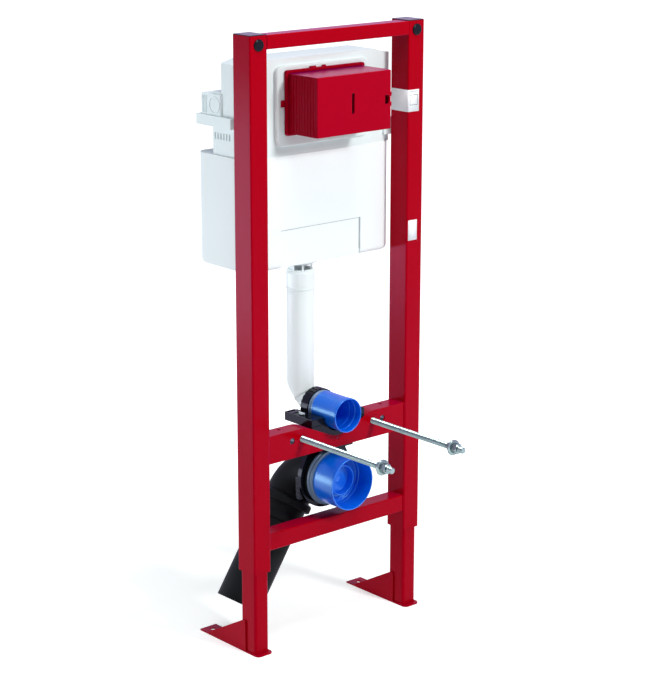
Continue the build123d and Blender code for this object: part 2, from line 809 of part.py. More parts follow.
save(elbow.part, "waste_elbow")

# holder of the elbow, a ring hung under the bolt beam by a pad with sloping shoulders
holder_bore = socket_diameter / 2 + holder_gap
holder_outer = holder_bore + holder_ring
with BuildPart() as holder:
    with BuildSketch(front_plane(holder_front)):
        with BuildLine():
            Polyline(
                (-holder_pad_half_width, bolt_beam_bottom),
                (holder_pad_half_width, bolt_beam_bottom),
                (holder_outer * math.cos(math.pi / 6), waste_z + holder_outer / 2),
                (-holder_outer * math.cos(math.pi / 6), waste_z + holder_outer / 2),
                close=True,
            )
        make_face()
        with Locations((0, waste_z)):
            Circle(holder_outer)
            Circle(holder_bore, mode=Mode.SUBTRACT)
    extrude(amount=-holder_thickness)
    with BuildSketch(front_plane(beam_setback + bolt_beam_sheet)):
        with Locations((0, bolt_beam_bottom)):
            Rectangle(2 * holder_pad_half_width, holder_ring / 2, align=(Align.CENTER, Align.MAX))
    extrude(amount=-(holder_front - beam_setback))
save(holder.part, "waste_holder")

# steel band round the socket behind the holder, with a clamp lug
band_front = holder_front + holder_thickness
band_inner = socket_diameter / 2 + band_gap
with BuildPart() as band:
    with BuildSketch(front_plane(band_front)):
        with Locations((0, waste_z)):
            Circle(band_inner + band_thickness)
            with Locations(Rotation(0, 0, 215)):
                with Locations((band_inner, 0)):
                    Rectangle(band_lug, band_lug_width, align=(Align.MIN, Align.CENTER))
            Circle(band_inner, mode=Mode.SUBTRACT)
    extrude(amount=-band_width)
save(band.part, "waste_band")

# seal and blue building cap of the waste elbow
waste_plug = elbow_bore - pipe_fit_gap
waste_seal_front = socket_front - waste_seal_length
waste_cap_radius = waste_cap_diameter / 2
cap_floor = waste_cap_front + waste_cap_floor
turned(
    "waste_seal",
    waste_z,
    [
        (waste_seal_front, waste_plug + pipe_fit_gap),
        (waste_seal_front, waste_seal_diameter / 2 - waste_seal_step),
        (waste_seal_front + waste_seal_step, waste_seal_diameter / 2),
        (socket_front, waste_seal_diameter / 2),
        (socket_front, waste_plug + pipe_fit_gap),
    ],
)
turned(
    "waste_cap",
    waste_z,
    [
        (waste_cap_front, waste_cap_radius),
        (waste_cap_front, waste_cap_radius - waste_cap_wall),
        (cap_floor - waste_step, waste_cap_radius - waste_cap_wall),
        (cap_floor - waste_step, waste_cap_radius - waste_cap_wall - waste_step),
        (cap_floor, waste_cap_radius - waste_cap_wall - waste_step),
        (cap_floor, inner_cup_diameter / 2),
        (cap_floor - inner_cup_height, inner_cup_diameter / 2),
        (cap_floor - inner_cup_height, inner_cup_diameter / 2 - waste_cap_wall),
        (cap_floor, inner_cup_diameter / 2 - waste_cap_wall),
        (cap_floor, 0),
        (waste_seal_front, 0),
        (waste_seal_front, waste_plug - waste_cap_wall),
        (waste_seal_front + waste_plug_depth, waste_plug - waste_cap_wall),
        (waste_seal_front + waste_plug_depth, waste_plug),
        (waste_seal_front, waste_plug),
        (waste_seal_front, waste_cap_radius),
    ],
)
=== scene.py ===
import math

import bmesh
import bpy
from mathutils import Matrix, Vector


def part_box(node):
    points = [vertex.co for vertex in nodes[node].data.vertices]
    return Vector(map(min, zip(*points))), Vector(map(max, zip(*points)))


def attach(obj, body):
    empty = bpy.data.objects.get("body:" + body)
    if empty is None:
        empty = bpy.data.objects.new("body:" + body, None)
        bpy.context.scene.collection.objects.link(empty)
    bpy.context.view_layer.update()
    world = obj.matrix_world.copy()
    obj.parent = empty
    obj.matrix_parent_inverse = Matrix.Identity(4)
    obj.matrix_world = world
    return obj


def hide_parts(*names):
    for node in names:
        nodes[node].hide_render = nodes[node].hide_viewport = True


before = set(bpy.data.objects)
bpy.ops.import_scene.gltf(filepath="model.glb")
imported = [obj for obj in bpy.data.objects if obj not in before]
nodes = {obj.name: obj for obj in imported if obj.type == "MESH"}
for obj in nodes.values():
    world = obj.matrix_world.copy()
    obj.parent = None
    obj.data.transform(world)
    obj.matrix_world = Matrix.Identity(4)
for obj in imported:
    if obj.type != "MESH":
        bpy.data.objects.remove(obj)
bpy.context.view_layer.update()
print("frame loaded:", len(nodes), "nodes")

mm = 0.001


# helpers for nodes and meshes

def startMaterial(name):
    mat = bpy.data.materials.new(name)
    mat.use_nodes = True
    tree = mat.node_tree
    coords = tree.nodes.new("ShaderNodeTexCoord")
    return mat, tree, tree.nodes["Principled BSDF"], coords


def setInputs(node, values):
    for label, value in values.items():
        node.inputs[label].default_value = value


def placeGroup(tree, group, coords, values):
    node = tree.nodes.new("ShaderNodeGroup")
    node.node_tree = group
    tree.links.new(coords.outputs["Object"], node.inputs["Vector"])
    setInputs(node, values)
    return node


def startGroup(name, inputs, outputs):
    group = bpy.data.node_groups.new(name, "ShaderNodeTree")
    for label, kind, value in inputs:
        socket = group.interface.new_socket(name=label, in_out="INPUT", socket_type="NodeSocket" + kind)
        if value is not None:
            socket.default_value = value
    for label, kind in outputs:
        group.interface.new_socket(name=label, in_out="OUTPUT", socket_type="NodeSocket" + kind)
    return group, group.nodes.new("NodeGroupInput"), group.nodes.new("NodeGroupOutput")


def mathNode(tree, operation, first, second=0.0):
    node = tree.nodes.new("ShaderNodeMath")
    node.operation = operation
    for socket, value in zip(node.inputs, (first, second)):
        if isinstance(value, (int, float)):
            socket.default_value = value
        else:
            tree.links.new(value, socket)
    return node.outputs[0]


def noiseNode(tree, vector, scale, detail=3.0, roughness=0.5):
    node = tree.nodes.new("ShaderNodeTexNoise")
    tree.links.new(vector, node.inputs["Vector"])
    if isinstance(scale, (int, float)):
        node.inputs["Scale"].default_value = scale
    else:
        tree.links.new(scale, node.inputs["Scale"])
    node.inputs["Detail"].default_value = detail
    node.inputs["Roughness"].default_value = roughness
    return node.outputs["Fac"]


def mixColours(tree, factor, first, second):
    node = tree.nodes.new("ShaderNodeMix")
    node.data_type = "RGBA"
    for socket, value in ((node.inputs[0], factor), (node.inputs[6], first), (node.inputs[7], second)):
        if isinstance(value, tuple):
            socket.default_value = (*value, 1.0)
        else:
            tree.links.new(value, socket)
    return node.outputs[2]


def addBump(tree, bsdf, height, strength, depth):
    # depth in mm
    bump = tree.nodes.new("ShaderNodeBump")
    setInputs(bump, {"Strength": strength, "Distance": depth * mm})
    tree.links.new(height, bump.inputs["Height"])
    tree.links.new(bump.outputs["Normal"], bsdf.inputs["Normal"])


def makeObject(name, bm, mat, body, smoothAngle=32.0):
    bmesh.ops.recalc_face_normals(bm, faces=bm.faces)
    mesh = bpy.data.meshes.new(name)
    bm.to_mesh(mesh)
    bm.free()
    mesh.materials.append(mat)
    for face in mesh.polygons:
        face.use_smooth = True
    mesh.set_sharp_from_angle(angle=math.radians(smoothAngle))
    piece = bpy.data.objects.new(name, mesh)
    bpy.context.scene.collection.objects.link(piece)
    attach(piece, body)
    return piece


def keepFlat(piece):
    # large faces stay flat beside their softened edges
    flat = piece.modifiers.new("flat faces", "WEIGHTED_NORMAL")
    flat.keep_sharp = True
    flat.weight = 100


def dressNodes(mat, *names):
    for name in names:
        node = nodes[name]
        if not node.material_slots:
            node.data.materials.append(mat)
        for slotItem in node.material_slots:
            slotItem.link = "OBJECT"
            slotItem.material = mat


def nodeCentre(name):
    low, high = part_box(name)
    return (low + high) / 2


# shader node groups that more than one material uses

def makeSkinGroup():
    # orange peel of paint or the fine grain of a moulding, as a height, and slow patches of tone
    group, start, end = startGroup(
        "moulded skin",
        [("Vector", "Vector", None), ("Grain Scale", "Float", 900.0), ("Patch Scale", "Float", 9.0)],
        [("Height", "Float"), ("Patches", "Float")],
    )
    vector = start.outputs["Vector"]
    grain = noiseNode(group, vector, start.outputs["Grain Scale"], 2.0, 0.45)
    patches = noiseNode(group, vector, start.outputs["Patch Scale"], 4.0, 0.55)
    group.links.new(grain, end.inputs["Height"])
    group.links.new(patches, end.inputs["Patches"])
    return group


def makeToneGroup():
    # a colour that wanders a little round its value, darker or lighter by patches
    group, start, end = startGroup(
        "tone drift",
        [("Vector", "Vector", None), ("Colour", "Color", (0.8, 0.8, 0.8, 1.0)), ("Amount", "Float", 0.1),
         ("Scale", "Float", 6.0)],
        [("Colour", "Color")],
    )
    drift = noiseNode(group, start.outputs["Vector"], start.outputs["Scale"], 4.0, 0.6)
    centred = mathNode(group, "SUBTRACT", drift, 0.5)
    swing = mathNode(group, "MULTIPLY", centred, start.outputs["Amount"])
    gain = mathNode(group, "ADD", swing, 1.0)
    scaled = group.nodes.new("ShaderNodeVectorMath")
    scaled.operation = "SCALE"
    group.links.new(start.outputs["Colour"], scaled.inputs[0])
    group.links.new(gain, scaled.inputs["Scale"])
    group.links.new(scaled.outputs["Vector"], end.inputs["Colour"])
    return group


def makeScuffGroup():
    # sparse fine scratches and rubbed spots, as a mask from 0 to 1
    group, start, end = startGroup(
        "light scuffs",
        [("Vector", "Vector", None), ("Scale", "Float", 60.0), ("Amount", "Float", 0.3)],
        [("Mask", "Float")],
    )
    spots = noiseNode(group, start.outputs["Vector"], start.outputs["Scale"], 6.0, 0.7)
    rise = group.nodes.new("ShaderNodeMapRange")
    setInputs(rise, {"From Min": 0.6, "From Max": 0.78})
    group.links.new(spots, rise.inputs["Value"])
    masked = mathNode(group, "MULTIPLY", rise.outputs["Result"], start.outputs["Amount"])
    group.links.new(masked, end.inputs["Mask"])
    return group


skinGroup = makeSkinGroup()
toneGroup = makeToneGroup()
scuffGroup = makeScuffGroup()


def makeFinish(look):
    # one finish from its dictionary: drifting colour, skin bump, roughness patches and a few scuffs
    mat, tree, bsdf, coords = startMaterial(look["name"])
    skin = placeGroup(tree, skinGroup, coords, {
        "Grain Scale": look["grainScale"], "Patch Scale": look["patchScale"],
    })
    tone = placeGroup(tree, toneGroup, coords, {
        "Colour": (*look["colour"], 1.0), "Amount": look["drift"], "Scale": look["driftScale"],
    })
    scuffs = placeGroup(tree, scuffGroup, coords, {"Scale": look["scuffScale"], "Amount": look["scuffs"]})
    rubbed = mixColours(tree, scuffs.outputs["Mask"], tone.outputs["Colour"], look["scuffColour"])
    tree.links.new(rubbed, bsdf.inputs["Base Color"])
    patches = mathNode(tree, "SUBTRACT", skin.outputs["Patches"], 0.5)
    swing = mathNode(tree, "MULTIPLY", patches, look["roughSwing"])
    dulled = mathNode(tree, "MULTIPLY", scuffs.outputs["Mask"], look["scuffDulling"])
    uneven = mathNode(tree, "ADD", swing, dulled)
    rough = mathNode(tree, "ADD", uneven, look["roughness"])
    tree.links.new(rough, bsdf.inputs["Roughness"])
    addBump(tree, bsdf, skin.outputs["Height"], look["bump"], look["bumpDepth"])
    setInputs(bsdf, look.get("shader", {}))
    return mat


plainLook = {
    "grainScale": 900.0, "patchScale": 9.0, "drift": 0.06, "driftScale": 5.0, "scuffScale": 70.0,
    "scuffs": 0.1, "scuffDulling": 0.25, "roughSwing": 0.08, "bump": 0.25, "bumpDepth": 0.15,
}

# violet specular and sheen tints paint a lavender reflection onto the red surfaces, strongest at grazing
# angles
redPaintedSheen = {"Specular IOR Level": 0.08, "Specular Tint": (0.6, 0.12, 1.0, 1.0), "Sheen Weight": 0.26,
            "Sheen Roughness": 0.3, "Sheen Tint": (0.22, 0.02, 1.0, 1.0)}

frameCoat = makeFinish({
    **plainLook, "name": "red powder coat", "colour": (0.36, 0.0, 0.003), "roughness": 0.2, "drift": 0.06,
    "scuffColour": (0.4, 0.004, 0.02), "scuffs": 0.04, "bump": 0.22, "roughSwing": 0.05,
    "shader": redPaintedSheen,
})
boxRed = makeFinish({
    **plainLook, "name": "red protection box moulding", "colour": (0.36, 0.0001, 0.008), "roughness": 0.24,
    "scuffColour": (0.4, 0.004, 0.04), "scuffs": 0.03, "grainScale": 1500.0, "bumpDepth": 0.04,
    "roughSwing": 0.04, "shader": redPaintedSheen,
})
capBlack = makeFinish({
    **plainLook, "name": "glossy black cap moulding", "colour": (0.004, 0.005, 0.009), "roughness": 0.14,
    "scuffColour": (0.02, 0.02, 0.03), "grainScale": 1200.0, "bumpDepth": 0.03,
    "shader": {"Specular IOR Level": 0.16},
})
holderBlack = makeFinish({
    **plainLook, "name": "black clamp moulding", "colour": (0.003, 0.004, 0.007), "roughness": 0.14,
    "scuffColour": (0.03, 0.032, 0.04), "grainScale": 1600.0, "bumpDepth": 0.06,
    "shader": {"Specular IOR Level": 0.2, "Specular Tint": (0.75, 0.8, 1.0, 1.0)},
})
drainBlack = makeFinish({
    **plainLook, "name": "black drain pipe", "colour": (0.0075, 0.0095, 0.0095), "roughness": 0.5,
    "roughSwing": 0.1, "scuffColour": (0.02, 0.022, 0.024), "scuffs": 0.15, "grainScale": 700.0,
    "bumpDepth": 0.1,
    "shader": {"Specular IOR Level": 0.08},
})
rubberGrey = makeFinish({
    **plainLook, "name": "grey sealing rubber", "colour": (0.09, 0.15, 0.24), "roughness": 0.36,
    "scuffColour": (0.2, 0.22, 0.24), "grainScale": 1100.0, "bumpDepth": 0.08,
})
rubberLight = makeFinish({
    **plainLook, "name": "pale sealing rubber", "colour": (0.17, 0.26, 0.4), "roughness": 0.36,
    "scuffColour": (0.2, 0.24, 0.3), "grainScale": 1100.0, "bumpDepth": 0.08,
})
# grey strips on the floor of the jacket's panel recess: painted shade where the recess walls meet it
recessShadeLine = makeFinish({
    **plainLook, "name": "painted recess shade line", "colour": (0.4, 0.46, 0.47), "roughness": 0.7, "drift": 0.2,
    "scuffColour": (0.5, 0.55, 0.56), "grainScale": 400.0, "bumpDepth": 0.1,
})
capBlue = makeFinish({
    **plainLook, "name": "blue building cap", "colour": (0.0, 0.115, 0.7), "roughness": 0.3, "drift": 0.06,
    "scuffColour": (0.02, 0.16, 0.8), "scuffs": 0.05, "grainScale": 1300.0, "bumpDepth": 0.04,
    "shader": {"Specular IOR Level": 0.9, "Specular Tint": (0.3, 0.9, 1.0, 1.0), "Coat Weight": 0.3,
               "Coat Roughness": 0.2},
})
tankWhite = makeFinish({
    **plainLook, "name": "blow moulded cistern", "colour": (0.76, 0.85, 0.86), "roughness": 0.42,
    "drift": 0.05, "scuffColour": (0.7, 0.75, 0.78), "scuffs": 0.15, "grainScale": 500.0, "bumpDepth": 0.12,
})
jacketFoam = makeFinish({
    **plainLook, "name": "foam jacket", "colour": (0.85, 0.91, 0.93), "roughness": 0.62, "drift": 0.04,
    "scuffColour": (0.72, 0.77, 0.8), "grainScale": 260.0, "bumpDepth": 0.25, "scuffs": 0.12,
})
pipeWhite = makeFinish({
    **plainLook, "name": "white flush pipe", "colour": (0.86, 0.93, 0.94), "roughness": 0.25, "drift": 0.03,
    "scuffColour": (0.7, 0.76, 0.8), "grainScale": 800.0, "bumpDepth": 0.05,
})
labelPaper = makeFinish({
    **plainLook, "name": "blank label film", "colour": (0.86, 0.88, 0.92), "roughness": 0.38, "drift": 0.02,
    "scuffColour": (0.66, 0.68, 0.7), "grainScale": 1800.0, "bumpDepth": 0.02,
})
strapSteel = makeFinish({
    **plainLook, "name": "dull strap steel", "colour": (0.5, 0.58, 0.58), "roughness": 0.42, "drift": 0.1,
    "scuffColour": (0.2, 0.22, 0.22), "grainScale": 500.0, "bumpDepth": 0.08, "scuffs": 0.3,
    "shader": {"Metallic": 0.55},
})
nutSteel = makeFinish({
    **plainLook, "name": "dark nut steel", "colour": (0.09, 0.12, 0.16), "roughness": 0.38, "drift": 0.1,
    "scuffColour": (0.2, 0.22, 0.24), "grainScale": 700.0, "bumpDepth": 0.06, "shader": {"Metallic": 0.4},
})
labelInk = makeFinish({
    **plainLook, "name": "printed line", "colour": (0.02, 0.02, 0.022), "roughness": 0.5, "drift": 0.02,
    "scuffColour": (0.1, 0.1, 0.1), "grainScale": 1800.0, "bumpDepth": 0.01,
})


zincLook = {
    "bright": (0.36, 0.47, 0.42), "dull": (0.2, 0.29, 0.28), "patchScale": 45.0,
    "marks": (1400.0, 120.0, 1400.0), "roughness": 0.2, "roughSwing": 0.18, "bump": 0.2, "bumpDepth": 0.05,
}


def makeZinc():
    # bright zinc with a faint yellow and blue cast in patches, and fine marks round the bar
    mat, tree, bsdf, coords = startMaterial("bright zinc plating")
    patches = noiseNode(tree, coords.outputs["Object"], zincLook["patchScale"], 5.0, 0.6)
    cast = mixColours(tree, patches, zincLook["bright"], zincLook["dull"])
    tree.links.new(cast, bsdf.inputs["Base Color"])
    stretched = tree.nodes.new("ShaderNodeMapping")
    stretched.inputs["Scale"].default_value = zincLook["marks"]
    tree.links.new(coords.outputs["Object"], stretched.inputs["Vector"])
    marks = noiseNode(tree, stretched.outputs["Vector"], 1.0, 2.0)
    swing = mathNode(tree, "MULTIPLY", marks, zincLook["roughSwing"])
    rough = mathNode(tree, "ADD", swing, zincLook["roughness"])
    tree.links.new(rough, bsdf.inputs["Roughness"])
    addBump(tree, bsdf, marks, zincLook["bump"], zincLook["bumpDepth"])
    bsdf.inputs["Metallic"].default_value = 1.0
    return mat


zinc = makeZinc()
print("materials ready")

dressNodes(frameCoat, "left_post", "right_post", "top_beam", "lower_beam", "bolt_beam", "left_leg",
           "right_leg", "left_foot", "right_foot", "left_weld_nut", "right_weld_nut")
dressNodes(capBlack, "left_post_cap", "right_post_cap", "left_hole_plug", "right_hole_plug", "left_leg_guide",
           "right_leg_guide")
dressNodes(tankWhite, "cistern_tank", "side_connection", "inspection_surround")
dressNodes(jacketFoam, "cistern_jacket")
dressNodes(boxRed, "inspection_box")
dressNodes(holderBlack, "flush_bracket", "flush_clamp_ring", "waste_holder")
dressNodes(drainBlack, "waste_elbow")
dressNodes(nutSteel, "left_spare_nut", "right_spare_nut")


# pan rods, cut with a real thread

rodThread = {"pitch": 1.75 * mm, "depth": 0.75 * mm, "chamfer": 1.5 * mm, "steps": 20, "endSteps": 24,
             "rootEnds": 0.22, "crestStarts": 0.5, "crestEnds": 0.66}


def makeThreadedRod(node):
    low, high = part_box(node)
    centre = nodeCentre(node)
    outer = (high.x - low.x) / 2
    root = outer - rodThread["depth"]
    tip = outer - rodThread["chamfer"]
    profile = [(0.0, root), (rodThread["rootEnds"], root), (rodThread["crestStarts"], outer),
               (rodThread["crestEnds"], outer)]
    steps, pitch = rodThread["steps"], rodThread["pitch"]
    count = int((high.y - low.y) / pitch + 2) * steps
    bm = bmesh.new()
    rows = []
    for i in range(count + 1):
        angle = 2 * math.pi * i / steps
        row = []
        for part, radius in profile:
            y = low.y + (i / steps - 1 + part) * pitch
            y = min(max(y, low.y), high.y)
            fromEnd = min(y - low.y, high.y - y)
            radius = min(radius, tip + fromEnd)
            x = centre.x + radius * math.cos(angle)
            z = centre.z + radius * math.sin(angle)
            row.append(bm.verts.new((x, y, z)))
        rows.append(row)
    last = len(profile) - 1
    for i in range(count):
        for j in range(last):
            bm.faces.new((rows[i][j], rows[i][j + 1], rows[i + 1][j + 1], rows[i + 1][j]))
        if i + 1 + steps <= count:
            bm.faces.new((rows[i][last], rows[i + steps][0], rows[i + 1 + steps][0], rows[i + 1][last]))
    for y in (low.y, high.y):
        rim = []
        for k in range(rodThread["endSteps"]):
            angle = 2 * math.pi * k / rodThread["endSteps"]
            rim.append(bm.verts.new((centre.x + tip * math.cos(angle), y, centre.z + tip * math.sin(angle))))
        bm.faces.new(rim)
    rod = makeObject(node + "_threaded", bm, zinc, "frame")
    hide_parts(node)


def skinRings(bm, rings, closed=True):
    # faces between neighbouring rings of as many points, and from the last ring to the first
    pairs = list(zip(rings, rings[1:]))
    if closed:
        pairs.append((rings[-1], rings[0]))
    for first, second in pairs:
        for k in range(len(first)):
            step = (k + 1) % len(first)
            bm.faces.new((first[k], first[step], second[step], second[k]))


def spinRings(bm, centre, rings, steps):
    # a closed skin of rings, each a pair of (depth, radius) or a function of the angle, round a line along Y
    made = []
    for ring in rings:
        row = []
        for k in range(steps):
            angle = 2 * math.pi * k / steps
            depth, radius = ring(angle) if callable(ring) else ring
            x = centre.x + radius * math.cos(angle)
            z = centre.z + radius * math.sin(angle)
            row.append(bm.verts.new((x, depth, z)))
        made.append(row)
    skinRings(bm, made)


nutShape = {"chamferRadius": 0.93, "slope": 0.577, "bore": 0.6, "steps": 72}
washerShape = {"edge": 0.4 * mm, "bore": 6.4 * mm, "steps": 56}


def makeHexNut(node):
    low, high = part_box(node)
    centre = nodeCentre(node)
    flat = (high.z - low.z) / 2
    face = flat * nutShape["chamferRadius"]

    def corner(angle):
        return flat / math.cos((angle % (math.pi / 3)) - math.pi / 6)

    def drop(angle):
        return (corner(angle) - face) * nutShape["slope"]

    bore = flat * nutShape["bore"]
    bm = bmesh.new()
    spinRings(bm, centre, [
        (low.y, bore), (low.y, face), lambda a: (low.y + drop(a), corner(a)),
        lambda a: (high.y - drop(a), corner(a)), (high.y, face), (high.y, bore),
    ], nutShape["steps"])
    nut = makeObject(node + "_chamfered", bm, zinc, "frame", 24.0)
    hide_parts(node)


def makeWasher(node):
    low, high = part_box(node)
    centre = nodeCentre(node)
    outer = (high.x - low.x) / 2
    edge, bore = washerShape["edge"], washerShape["bore"]
    bm = bmesh.new()
    spinRings(bm, centre, [
        (low.y, bore), (low.y, outer - edge), (low.y + edge, outer), (high.y - edge, outer),
        (high.y, outer - edge), (high.y, bore),
    ], washerShape["steps"])
    washer = makeObject(node + "_pressed", bm, zinc, "frame", 50.0)
    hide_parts(node)


for side in ("left", "right"):
    makeThreadedRod(side + "_rod")
    makeHexNut(side + "_nut")
    makeHexNut(side + "_lock_nut")
    makeWasher(side + "_washer")
print("pan rods ready")


# turned pieces: seals and blue building caps

def roundCorners(points, radius, steps=3):
    # softens the corners of a closed outline of pairs, but not those on its first axis
    made = []
    for k, point in enumerate(points):
        here = Vector(point)
        before = Vector(points[k - 1]) - here
        after = Vector(points[(k + 1) % len(points)]) - here
        if here.y == 0.0:
            made.append((here.x, here.y))
            continue
        reach = min(radius, before.length * 0.45, after.length * 0.45)
        start = here + before.normalized() * reach
        end = here + after.normalized() * reach
        for step in range(steps + 1):
            part = step / steps
            bent = start * (1 - part) ** 2 + here * 2 * part * (1 - part) + end * part ** 2
            made.append((bent.x, bent.y))
    return made


def turnPiece(node, suffix, profile, mat, softness):
    # turns a closed outline of (depth, radius) in mm round the node's own line
    centre = nodeCentre(node)
    outline = roundCorners([(depth * mm, radius * mm) for depth, radius in profile], softness * mm)
    bm = bmesh.new()
    spinRings(bm, centre, outline, 80)
    bmesh.ops.remove_doubles(bm, verts=bm.verts, dist=0.01 * mm)
    piece = makeObject(node + suffix, bm, mat, "frame", 40.0)
    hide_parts(node)


def beadPoints(floor, rise, radii):
    # a low ring on a floor, as four points from outside in
    outside, outsideTop, insideTop, inside = radii
    return [(floor, outside), (floor - rise, outsideTop), (floor - rise, insideTop), (floor, inside)]


def plugPoints(sealFront, back, plug, wall):
    # the closed disc and the short tube that sits in the seal
    return [(sealFront, 0.0), (sealFront, plug - wall), (back, plug - wall), (back, plug), (sealFront, plug)]


flushCapShape = {"wall": 2.4, "mouthInset": 0.3, "step": 15.0, "stepLong": 14.0, "floorDepth": 67.5,
                 "plug": 20.2, "bead": 0.5, "beadRadii": (12.0, 11.4, 9.8, 9.2), "softness": 0.7}
wasteCapShape = {"wall": 2.4, "floorDepth": 46.0, "cup": 30.0, "cupRise": 16.0, "plug": 41.7, "bead": 0.5,
                 "beadInset": (9.0, 9.4, 10.8, 11.2), "beadRadii": (9.0, 8.4, 6.6, 6.0), "softness": 0.7}


def makeFlushCap():
    low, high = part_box("flush_cap")
    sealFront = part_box("flush_seal")[0].y / mm
    front, back, outer = low.y / mm, high.y / mm, (high.x - low.x) / 2 / mm
    shape = flushCapShape
    wall, bead, inset = shape["wall"], shape["bead"], shape["mouthInset"]
    inner = outer - wall
    step, floor = front + shape["step"], front + shape["floorDepth"]
    stepEnd = step + shape["stepLong"]
    turnPiece("flush_cap", "_moulded", [
        # inside, in three steps down to the floor with its bead
        (front, outer - inset), (front, inner), (step, inner - 0.2), (step + 0.8, inner - 1.3),
        (stepEnd, inner - 1.5), (stepEnd + 0.8, inner - 2.4), (floor, inner - 2.6),
        *beadPoints(floor, bead, shape["beadRadii"]), (floor, 0.0),
        *plugPoints(sealFront, back, shape["plug"], wall),
        # outside, with a shallow groove and a thicker mouth
        (sealFront, outer - 0.2), (sealFront - 3.0, outer - 0.2), (sealFront - 3.4, outer - 0.7),
        (step + 1.0, outer - 0.7), (step, outer - inset), (front + 6.0, outer - inset), (front + 5.2, outer),
    ], capBlue, shape["softness"])


def makeWasteCap():
    low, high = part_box("waste_cap")
    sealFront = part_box("waste_seal")[0].y / mm
    front, back, outer = low.y / mm, high.y / mm, (high.x - low.x) / 2 / mm
    shape = wasteCapShape
    wall, bead, cup = shape["wall"], shape["bead"], shape["cup"]
    inner = outer - wall
    floor = front + shape["floorDepth"]
    ledge, rise = floor - 2.0, floor - shape["cupRise"]
    turnPiece("waste_cap", "_moulded", [
        # inside, with a ledge and a bead before the floor
        (front, outer), (front, inner), (floor - 9.0, inner - 0.5), (floor - 8.0, inner - 1.8),
        (ledge, inner - 2.0), (ledge, inner - 4.2), (floor, inner - 4.6),
        *beadPoints(floor, bead, [inner - inset for inset in shape["beadInset"]]),
        # the inner cup, with a bead on its floor
        (floor, cup), (rise, cup), (rise, cup - wall), (floor, cup - wall - 0.6),
        *beadPoints(floor, bead, shape["beadRadii"]), (floor, 0.0),
        *plugPoints(sealFront, back, shape["plug"], wall),
        # outside, thicker at the mouth
        (sealFront, outer - 0.4), (front + 9.0, outer - 0.4), (front + 8.2, outer),
    ], capBlue, shape["softness"])


def makeSeal(node, bore, lip, mat):
    # two rounded lips with a groove between them
    low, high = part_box(node)
    front, back, outer = low.y / mm, high.y / mm, (high.x - low.x) / 2 / mm
    third = (back - front) / 3
    turnPiece(node, "_lipped", [
        (front, bore), (front, outer - 2.6 * lip), (front + 0.6 * third, outer - lip),
        (front + 1.1 * third, outer - lip), (front + 1.3 * third, outer - 2.0 * lip),
        (front + 1.6 * third, outer - 2.0 * lip), (front + 1.8 * third, outer), (back, outer), (back, bore),
    ], mat, 0.9)


makeFlushCap()
makeWasteCap()
makeSeal("flush_seal", 20.5, 0.9, rubberLight)
makeSeal("waste_seal", 42.0, 1.2, rubberGrey)
print("caps and seals ready")


# flush pipe, a wide tube with a sleeve above its seam and a neck in the clamp ring

pipeShape = {
    "radius": 27.6, "sleeve": 28.1, "neck": 22.9, "bend": 40.0, "wall": 2.4, "steps": 64,
    "seam": 33.0, "belowSeam": 8.0, "straightSteps": 8, "bendSteps": 14, "taperFrom": 6,
    # drop from the top or the seam, and how much wider than the sleeve
    "mouth": ((0.0, -3.4), (1.2, -1.6), (3.5, -0.3), (6.0, 0.0)),
    "bead": ((0.0, 0.0), (0.6, 0.9), (1.6, 1.2), (2.8, 1.1), (3.6, 0.5), (4.2, -1.1), (5.0, -1.3),
             (6.4, -0.6)),
}


def makeFlushPipe():
    low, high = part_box("flush_pipe")
    flushHeight = nodeCentre("flush_seal").z
    lineY = nodeCentre("outlet_collar").y
    shape = pipeShape
    radius, sleeve, neck = (shape[key] * mm for key in ("radius", "sleeve", "neck"))
    bend, wall, below = (shape[key] * mm for key in ("bend", "wall", "belowSeam"))
    seam = high.z - shape["seam"] * mm
    stations = []  # depth, height, lean and radius along the pipe
    for start, steps in ((high.z, shape["mouth"]), (seam, shape["bead"])):
        for drop, grow in steps:
            stations.append((lineY, start - drop * mm, 0.0, sleeve + grow * mm))
    for part in range(1, shape["straightSteps"] + 1):
        run = (flushHeight + bend - seam + below) * part / shape["straightSteps"]
        stations.append((lineY, seam - below + run, 0.0, radius))
    for part in range(1, shape["bendSteps"] + 1):
        angle = math.pi / 2 * part / shape["bendSteps"]
        taper = max(0.0, (part - shape["taperFrom"]) / (shape["bendSteps"] - shape["taperFrom"]))
        stations.append((lineY - bend + bend * math.cos(angle), flushHeight + bend - bend * math.sin(angle),
                         angle, radius + (neck - radius) * taper * taper * (3 - 2 * taper)))
    stations.append((low.y, flushHeight, math.pi / 2, neck))
    bm = bmesh.new()

    def addRing(y, z, angle, size):
        ring = []
        for k in range(shape["steps"]):
            turn = 2 * math.pi * k / shape["steps"]
            across, up = size * math.cos(turn), size * math.sin(turn)
            ring.append(bm.verts.new((across, y + up * math.cos(angle), z + up * math.sin(angle))))
        return ring

    rings = [addRing(*station) for station in stations]
    rings += [addRing(y, z, angle, size - wall) for y, z, angle, size in reversed(stations)]
    skinRings(bm, rings)
    pipe = makeObject("flush_pipe_sleeved", bm, pipeWhite, "frame", 50.0)
    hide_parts("flush_pipe")


makeFlushPipe()
print("flush pipe ready")


# band and latch round the waste socket

bandShape = {
    "inner": 56.3, "thick": 1.3, "lipHigh": 0.5, "lipWide": 0.9, "steps": 96,
    "latchInner": 57.0, "latchOuter": 63.5, "latchTop": 317.0, "latchBottom": 272.0, "latchFront": 43.5,
    "latchBack": 57.0, "ribs": 4, "ribsFrom": 6.0, "ribPitch": 9.5, "ribHigh": 6.5, "ribProud": 1.0,
    "footTo": 44.0, "footHigh": 7.0,
    "screw": (((-58.0, 46.0, 279.5), (-46.0, 52.0, 285.5), 1.2),
              ((-52.0, 44.5, 284.0), (-46.5, 50.0, 291.5), 1.0)),
}


